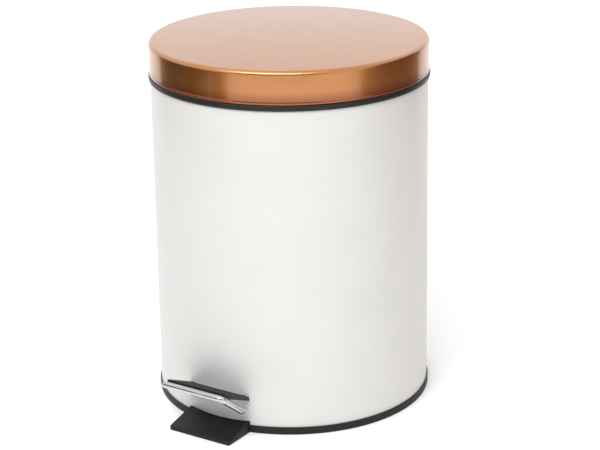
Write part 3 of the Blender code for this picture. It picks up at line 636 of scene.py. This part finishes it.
# %% Slot, notch and seam
CUT_IN, CUT_OUT = 12, 5          # a cutter's reach to each side of the wall
BARREL_SIDE = 2.9                # lever's barrel, wider than its strap at each side
SLOT_SIDE, SLOT_ROUND = 1.2, 2.5
SLOT_UNDER, SLOT_OVER = 0.77, 6.83   # the slot's edges, from the axle's height
NOTCH_HALF, NOTCH_UP, NOTCH_PAST = 8.8, 6.5, 9
SEAM_HALF, SEAM_DEEP, SEAM_PAST = 0.25, 0.35, 2
housing_low = corners("hinge_housing")[0].z
lever_half = corners("pedal_lever")[1].x - BARREL_SIDE
slot = pushed("slot", plan(lever_half + SLOT_SIDE, pivot.z - SLOT_UNDER, pivot.z + SLOT_OVER,
                           SLOT_ROUND), -SHELL_R - CUT_OUT, -SHELL_R + CUT_IN, "Y")
notch = pushed("notch", plan(NOTCH_HALF, housing_low + NOTCH_UP, SHELL_HIGH + NOTCH_PAST, 0.5),
               SHELL_R - CUT_IN, SHELL_R + CUT_OUT, "Y")
seam = pushed("seam", plan(SEAM_HALF, SHELL_LOW - SEAM_PAST, housing_low + SEAM_PAST, 0.05, 1),
              SHELL_R - SEAM_DEEP, SHELL_R + SEAM_PAST, "Y")
put(combined(shell, [slot, notch, seam], "DIFFERENCE"), white_powder, "white_enamel", "body_shell")

# %% [markdown]
# ## The moulded foot
# One black moulding closes the bottom. Its lip hides the shell's cut edge, a tab runs forward so
# that a foot on the pedal can't tip the bin, and two posts inside carry the axle.
# Underneath it stands on a rim, and thin ribs stiffen the floor, as they do on most mouldings.

# %% Foot
low, high = corners("base_moulding")
FOOT_R, TAB_FRONT = high.x, low.y
GAP = 0.3
groove_out, groove_in = SHELL_R + GAP, SHELL_R - SHEET - GAP
LIP_H, WALL_H, WALL_T = 5.8, 9.0, 2.5
FLOOR_LOW, FLOOR_HIGH = 1.4, 2.6
STAND_IN, GROOVE_LOW = 88, 2.0   # the ring it stands on starts here; the shell's groove ends here
wall_in = groove_in - WALL_T
middle = (groove_out + groove_in) / 2
foot = turned("moulded_foot", filleted([
    (0, FLOOR_LOW, 0), (STAND_IN, FLOOR_LOW, 0.5), (STAND_IN + 1, 0, 0.4), (FOOT_R, 0, 0.7),
    (FOOT_R, LIP_H, 0.35), (middle, LIP_H, 0), (middle, WALL_H, 0), (wall_in, WALL_H, 0.5),
    (wall_in, FLOOR_HIGH, 0.8), (0, FLOOR_HIGH, 0)], 4))
print("foot's tray:", len(foot.data.polygons), "faces")

# %% Foot tab
TAB_HALF, TAB_FRONT_T, TAB_BACK_T, TAB_CORNER = 26.5, 3.0, 8.0, 1.5
TAB_ROOT = 3.0                   # how far the tab runs in past the foot's wall
fall = (TAB_BACK_T - TAB_FRONT_T) / (-TAB_FRONT - groove_out)
tab_back = TAB_ROOT - wall_in
side_view = [(tab_back, 0), (tab_back, TAB_BACK_T + fall * (tab_back + groove_out)),
             (TAB_FRONT, TAB_FRONT_T), (TAB_FRONT, 0)]
tab = pushed("tab", side_view, -TAB_HALF, TAB_HALF, "X")
trim = pushed("trim", plan(TAB_HALF, TAB_FRONT, tab_back + 60, TAB_CORNER), -5, 20, "Z")
tab = rolled(combined(tab, [trim], "INTERSECT"), 0.45, 3)
groove = turned("groove", [(groove_in, GROOVE_LOW), (groove_out, GROOVE_LOW), (groove_out, 20),
                           (groove_in, 20)])
combined(foot, [tab], "UNION")
combined(foot, [groove], "DIFFERENCE")
print("with its tab and groove:", len(foot.data.polygons), "faces")

# %% Axle posts, ribs and bore
POST_IN, POST_OUT, POST_R, POST_LOW, POST_ROUND = 13.5, 17.5, 5, 2.2, 4.9
POST_HEEL = 2                    # extra depth at the post's root, towards the bin's middle
RIBS = 12
RIB_HALF, RIB_IN, RIB_OUT, RIB_LOW, RIB_HIGH = 0.6, 12, 88.6, 0.5, 1.6
AXLE_BORE = 2.3
extras = []
for side in (-1, 1):
    inner, outer = side * POST_IN, side * POST_OUT
    arch = filleted([(pivot.y - POST_R, POST_LOW, 0), (pivot.y + POST_R + POST_HEEL, POST_LOW, 0),
                     (pivot.y + POST_R, pivot.z + POST_R, POST_ROUND),
                     (pivot.y - POST_R, pivot.z + POST_R, POST_ROUND)], 8)
    extras.append(rolled(pushed("post", arch, min(inner, outer), max(inner, outer), "X"), 0.4))


def ray_ribs(half, start, end, low, high):
    """Thin bars that run out from the middle like spokes."""
    bars = []
    for i in range(RIBS):
        bar = pushed("rib", [(-half, start), (half, start), (half, end), (-half, end)], low, high, "Z")
        bar.data.transform(Matrix.Rotation(math.tau * (i + 0.5) / RIBS, 4, "Z"))
        bars.append(bar)
    return bars


extras += ray_ribs(RIB_HALF, RIB_IN, RIB_OUT, RIB_LOW, RIB_HIGH)
combined(foot, extras, "UNION")
combined(foot, [pushed("bore", circle(pivot.y, pivot.z, AXLE_BORE), -40, 40, "X")], "DIFFERENCE")
put(foot, black_plastic, "black_plastic", "base_moulding")

# %% [markdown]
# ## The rim
# A black ring clips over the shell's top edge. Only its outer band shows under the lid, as a
# thin dark line. Inside, its flange carries the bucket.

# %% Rim
low, high = corners("top_rim_collar")
RIM_R, RIM_TOP = high.x, high.z
RIM_WIDE, RIM_H, RIM_T, SKIRT_T = 11.0, 4.0, 1.4, 2.4
LEDGE_H, LEDGE_T = 1.8, 1.5      # the ring that guides the bucket
RIM_BORE = SHELL_R - RIM_WIDE
RIM_LOW = RIM_TOP - RIM_H
under = RIM_TOP - RIM_T
skirt_in = groove_in - SKIRT_T
rim = turned("clip_on_rim", filleted([
    (groove_out, RIM_LOW, 0.2), (RIM_R, RIM_LOW, 0.7), (RIM_R, RIM_TOP, 0.9),
    (RIM_BORE, RIM_TOP, 0.6), (RIM_BORE, under - LEDGE_H, 0.4),
    (RIM_BORE + LEDGE_T, under - LEDGE_H, 0.4), (RIM_BORE + LEDGE_T, under, 0.4),
    (skirt_in, under, 0.4), (skirt_in, low.z, 0.5),
    (groove_in, low.z, 0.5), (groove_in, under, 0.2), (groove_out, under, 0.2)], 4))
bucket_r = corners("inner_bucket")[1].x
notch = pushed("notch", plan(NOTCH_HALF, bucket_r + 0.6, RIM_R + CUT_OUT, 0.6),
               RIM_LOW - 20, RIM_TOP + CUT_OUT, "Z")
put(combined(rim, [notch], "DIFFERENCE"), rim_plastic, "black_plastic", "top_rim_collar")

# %% [markdown]
# ## The copper cap
# The lid is one disc of steel drawn down over a die, which leaves a round top edge and an even
# skirt. Its raw edge is rolled into a small bead at the bottom. A turned profile gives the edge
# radius, the wall and the bead in one go, and a notch at the back makes room for the hinge lug.

# %% Lid shell
low, high = corners("lid_shell")
LID_R, LID_LOW, LID_TOP = high.x, low.z, high.z
LID_ROUND = 3.0
BEAD, BEAD_H, BEAD_ROOT = 0.25, 1.5, 2.2   # how far it stands out, its height, where it meets the wall
LUG_SIDE, LUG_OVER = 0.5, 3.5    # room for the hinge lug
lid = turned("copper_cap", filleted([
    (LID_R - SHEET, LID_LOW, LIP), (LID_R + BEAD, LID_LOW, 0.55),
    (LID_R + BEAD, LID_LOW + BEAD_H, 0.5), (LID_R, LID_LOW + BEAD_ROOT, 0.5),
    (LID_R, LID_TOP, LID_ROUND), (0, LID_TOP, 0),
    (0, LID_TOP - SHEET, 0), (LID_R - SHEET, LID_TOP - SHEET, LID_ROUND - SHEET)], 8), 256)
lug_half = corners("lid_hinge_bracket")[1].x
notch = pushed("notch", plan(lug_half + LUG_SIDE, LID_LOW - 6, LID_LOW + LUG_OVER, 0.4),
               LID_R - CUT_IN, LID_R + CUT_OUT, "Y")
put(combined(lid, [notch], "DIFFERENCE"), copper_lacquer, "copper_lacquer", "lid_shell")

# %% [markdown]
# The liner is a black plastic cup pushed up inside the cap. It hides the bare steel and takes the
# hinge's rivets. Low ribs run out from a ring at its middle, where the mould was filled.

# %% Lid liner
low, high = corners("lid_liner")
LINER_R, LINER_LOW, LINER_TOP = high.x, low.z, high.z
LINER_WALL, LINER_T = 1.8, 1.6
RING_IN, RING_OUT, RING_H = 10, 12, 0.8
LINER_RIB_HALF, LINER_RIB_IN, LINER_RIB_OUT, LINER_RIB_H = 0.5, 11.5, 96, 0.7
liner_in = LINER_R - LINER_WALL
ceiling = LINER_TOP - LINER_T
liner = turned("moulded_liner", filleted([
    (LINER_R, LINER_LOW, 0.4), (LINER_R, LINER_TOP, 2.6), (0, LINER_TOP, 0), (0, ceiling, 0),
    (RING_IN, ceiling, 0.1), (RING_IN, ceiling - RING_H, 0.3), (RING_OUT, ceiling - RING_H, 0.3),
    (RING_OUT, ceiling, 0.1), (liner_in, ceiling, 2.0), (liner_in, LINER_LOW, 0.4)], 5))
ribs = ray_ribs(LINER_RIB_HALF, LINER_RIB_IN, LINER_RIB_OUT, ceiling - LINER_RIB_H, ceiling + 0.5)
put(combined(liner, ribs, "UNION"), black_plastic, "black_plastic", "lid_liner")

# %% [markdown]
# ## The bucket and its bail
# The bucket lifts out by a wire handle that lies folded on its rim. The wall leans in towards the
# floor, so that the moulding could leave its mould and a liner bag drops in easily.

# %% Bucket
low, high = corners("inner_bucket")
FLANGE_R, FLANGE_T = high.x, 1.8
WALL, BUCKET_FLOOR = 1.3, 1.6
HOLLOW_IN, HOLLOW_OUT, HOLLOW_H = 62, 63, 0.8   # the middle of its underside is raised
top_r = RIM_BORE - 2.0
foot_r = top_r - 7.5             # the wall leans in by this much
seat = RIM_TOP + GAP
flange_top = seat + FLANGE_T
bail_joint = Vector(JOINTS["bail_swing"]["pos_m"]) / MM
bucket = turned("lift_out_bucket", filleted([
    (0, low.z + HOLLOW_H, 0), (HOLLOW_IN, low.z + HOLLOW_H, 0.4), (HOLLOW_OUT, low.z, 0.4),
    (foot_r, low.z, 2.4),
    (top_r, seat - 1.0, 0.3), (top_r, seat, 0.1), (FLANGE_R, seat, 0.4),
    (FLANGE_R, flange_top, 0.8), (top_r - WALL, flange_top, 0.9), (top_r - WALL, seat - 1.5, 0.5),
    (foot_r - WALL, low.z + BUCKET_FLOOR, 2.0), (0, low.z + BUCKET_FLOOR, 0)], 5))
print("bucket's wall:", len(bucket.data.polygons), "faces")

# %% Bucket's ears
EAR_R, EAR_OUT, EAR_T, EAR_ROOT, EAR_BORE = 4.5, FLANGE_R - 1.3, 3.3, 0.9, 1.9
ears = []
for side in (-1, 1):
    inner, outer = side * (EAR_OUT - EAR_T), side * EAR_OUT
    face = filleted([(-EAR_R, flange_top - EAR_ROOT, 0), (EAR_R, flange_top - EAR_ROOT, 0),
                     (EAR_R, bail_joint.z + EAR_R, 4.4), (-EAR_R, bail_joint.z + EAR_R, 4.4)], 8)
    ears.append(rolled(pushed("ear", face, min(inner, outer), max(inner, outer), "X"), 0.35))
combined(bucket, ears, "UNION")
combined(bucket, [pushed("bore", circle(0, bail_joint.z, EAR_BORE), -120, 120, "X")], "DIFFERENCE")
put(bucket, black_plastic, "black_plastic", "inner_bucket")

# %% [markdown]
# The bail is one length of wire. A path of points is easier to control than a curve object here,
# because both ends turn outwards through the ears on a small bend.

# %% Bail
BAIL_R, BAIL_SWEEP, BAIL_BEND = 1.4, top_r - 4.0, 3.0
BAIL_TIP = corners("bucket_bail")[1].x
corner = BAIL_SWEEP + BAIL_BEND
height = bail_joint.z


def turns(first, last, steps):
    """Angles in radians, evenly spaced between two in degrees."""
    return [math.radians(first + (last - first) * i / steps) for i in range(steps + 1)]


bend = [(corner + BAIL_BEND * math.cos(a), -BAIL_BEND + BAIL_BEND * math.sin(a), height)
        for a in turns(90, 180, 8)]
sweep = [(BAIL_SWEEP * math.cos(a), BAIL_SWEEP * math.sin(a) - BAIL_BEND, height)
         for a in turns(0, -180, 96)][1:-1]
path = [(BAIL_TIP - BAIL_R, 0, height), *bend, *sweep, *[(-x, y, z) for x, y, z in reversed(bend)],
        (BAIL_R - BAIL_TIP, 0, height)]
put(bent("wire_bail", path, BAIL_R, 16), zinc, "zinc_steel", "bucket_bail")

# %% [markdown]
# ## The pedal
# A black ridged tread sits on a steel lever, and a bright rod runs along its front edge and back
# down its right side. The ridges are half-round bars that stop short of the tread's border,
# so a shoe can't slide off. They are separate bars joined to the slab, not a bump in a material,
# because they show in outline along the tread's edge.

# %% Bright rod
low, high = corners("pedal_rod")
ROD_R = 2.5
ROD_RUN, ROD_FALL = 23.6, 18.05        # slanting part, back and down
ROD_END_RUN, ROD_END_FALL = 27.0, 19.1 # its end, from the front bar
ROD_BENDS = (3.4, 6.0)
rod_front = low.y + ROD_R
rod_left = low.x + ROD_R * TIPS[-1][0]
rod_right = high.x - ROD_R
rod_high = high.z - ROD_R
rod_points = [(rod_left, rod_front, rod_high), (rod_right, rod_front, rod_high),
              (rod_right, rod_front + ROD_RUN, rod_high - ROD_FALL),
              (rod_right, rod_front + ROD_END_RUN, rod_high - ROD_END_FALL)]
rod_path = soft_path(rod_points, ROD_BENDS)
put(bent("bright_rod", rod_path, ROD_R), chrome, "bright_chrome", "pedal_rod")

# %% Tread's slab
low, high = corners("pedal_pad")
PAD_HALF, PAD_FRONT = high.x, low.y
PAD_T, PAD_LENGTH, PAD_ROUND, RIDGE_H = 3.2, 34.0, 2.5, 0.6
SLOPE = 0.449                    # fall towards the shell per length
FIRST_CREST = 0.9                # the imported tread's highest crest, from its front edge
SHELL_SPACE = 0.8                # between the tread and the shell
front_low = high.z + FIRST_CREST * SLOPE - RIDGE_H - PAD_T


def pad_under(y):
    """Height of the slab's underside at a distance from the bin's axis."""
    return front_low - (y - PAD_FRONT) * SLOPE


def shell_space():
    """Cutter that holds the tread off the shell."""
    reach = SHELL_R + SHELL_SPACE
    return turned("space", [(0, -10), (reach, -10), (reach, 80), (0, 80)])


rear = PAD_FRONT + PAD_LENGTH
side_view = [(PAD_FRONT, pad_under(PAD_FRONT)), (PAD_FRONT, pad_under(PAD_FRONT) + PAD_T),
             (rear, pad_under(rear) + PAD_T), (rear, pad_under(rear))]
slab = pushed("ridged_tread", side_view, -PAD_HALF, PAD_HALF, "X")
trim = pushed("plan", plan(PAD_HALF, PAD_FRONT, rear + 40, PAD_ROUND), -10, 80, "Z")
combined(slab, [trim], "INTERSECT")
combined(slab, [shell_space(), bent("channel", rod_path, ROD_R + GAP)], "DIFFERENCE")
rolled(slab, 0.5, 3)
print("tread's slab:", len(slab.data.polygons), "faces")

# %% Tread's ridges
RIDGES, PITCH = 8, 26.0 / 7
FIRST_RIDGE = 1.9                # its middle, from the front edge
BORDER = 2.4                     # plain edge at each side
SINK = 0.2                       # a bar's middle lies this far under the slab's face
BAR_RISE = RIDGE_H + 0.15
BAR_ROOT = 1.2
bar_solids = []
for i in range(RIDGES):
    y = PAD_FRONT + FIRST_RIDGE + i * PITCH
    z = pad_under(y) + PAD_T
    profile = [(y + math.cos(a), z - SINK + BAR_RISE * math.sin(a) - SLOPE * math.cos(a))
               for a in turns(0, 180, 10)]
    profile += [(y - 1, z - BAR_ROOT + SLOPE), (y + 1, z - BAR_ROOT - SLOPE)]
    bar_solids.append(pushed("bar", profile, BORDER - PAD_HALF, PAD_HALF - BORDER, "X"))
combined(slab, bar_solids, "UNION")
combined(slab, [shell_space()], "DIFFERENCE")
put(slab, tread_plastic, "black_plastic", "pedal_pad")

# %% [markdown]
# ## Everything else
# The lever, the hinge parts, pins and rivets already have their true shapes. They only lack the
# small rounded edges that catch light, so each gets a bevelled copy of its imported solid.

# %% Softened pieces
softened("pedal_lever", "steel_lever", 0.3, zinc, "zinc_steel")
softened("hinge_housing", "hinge_block", 0.45, black_plastic, "black_plastic")
softened("lid_hinge_bracket", "hinge_lug", 0.35, black_plastic, "black_plastic")
softened("lift_rod", "lifting_wire", 0.2, zinc, "zinc_steel")
softened("lower_rod_guide", "guide_low", 0.3, black_plastic, "black_plastic")
softened("upper_rod_guide", "guide_high", 0.3, black_plastic, "black_plastic")
for side in ("left", "right"):
    softened("housing_rivet_" + side, "back_rivet_" + side, 0.2, zinc, "zinc_steel")
    softened("lid_rivet_" + side, "lug_rivet_" + side, 0.2, zinc, "zinc_steel")
    softened("axle_clip_" + side, "spring_clip_" + side, 0.2, zinc, "zinc_steel")
for place in ("front", "left", "right"):
    softened("lid_buffer_" + place, "buffer_" + place, 0.5, rubber, "black_rubber")
softened("pedal_axle", "axle_bar", 0.15, zinc, "zinc_steel")
softened("hinge_pin", "hinge_bar", 0.15, zinc, "zinc_steel")
softened("crank_pin", "crank_bar", 0.15, zinc, "zinc_steel")
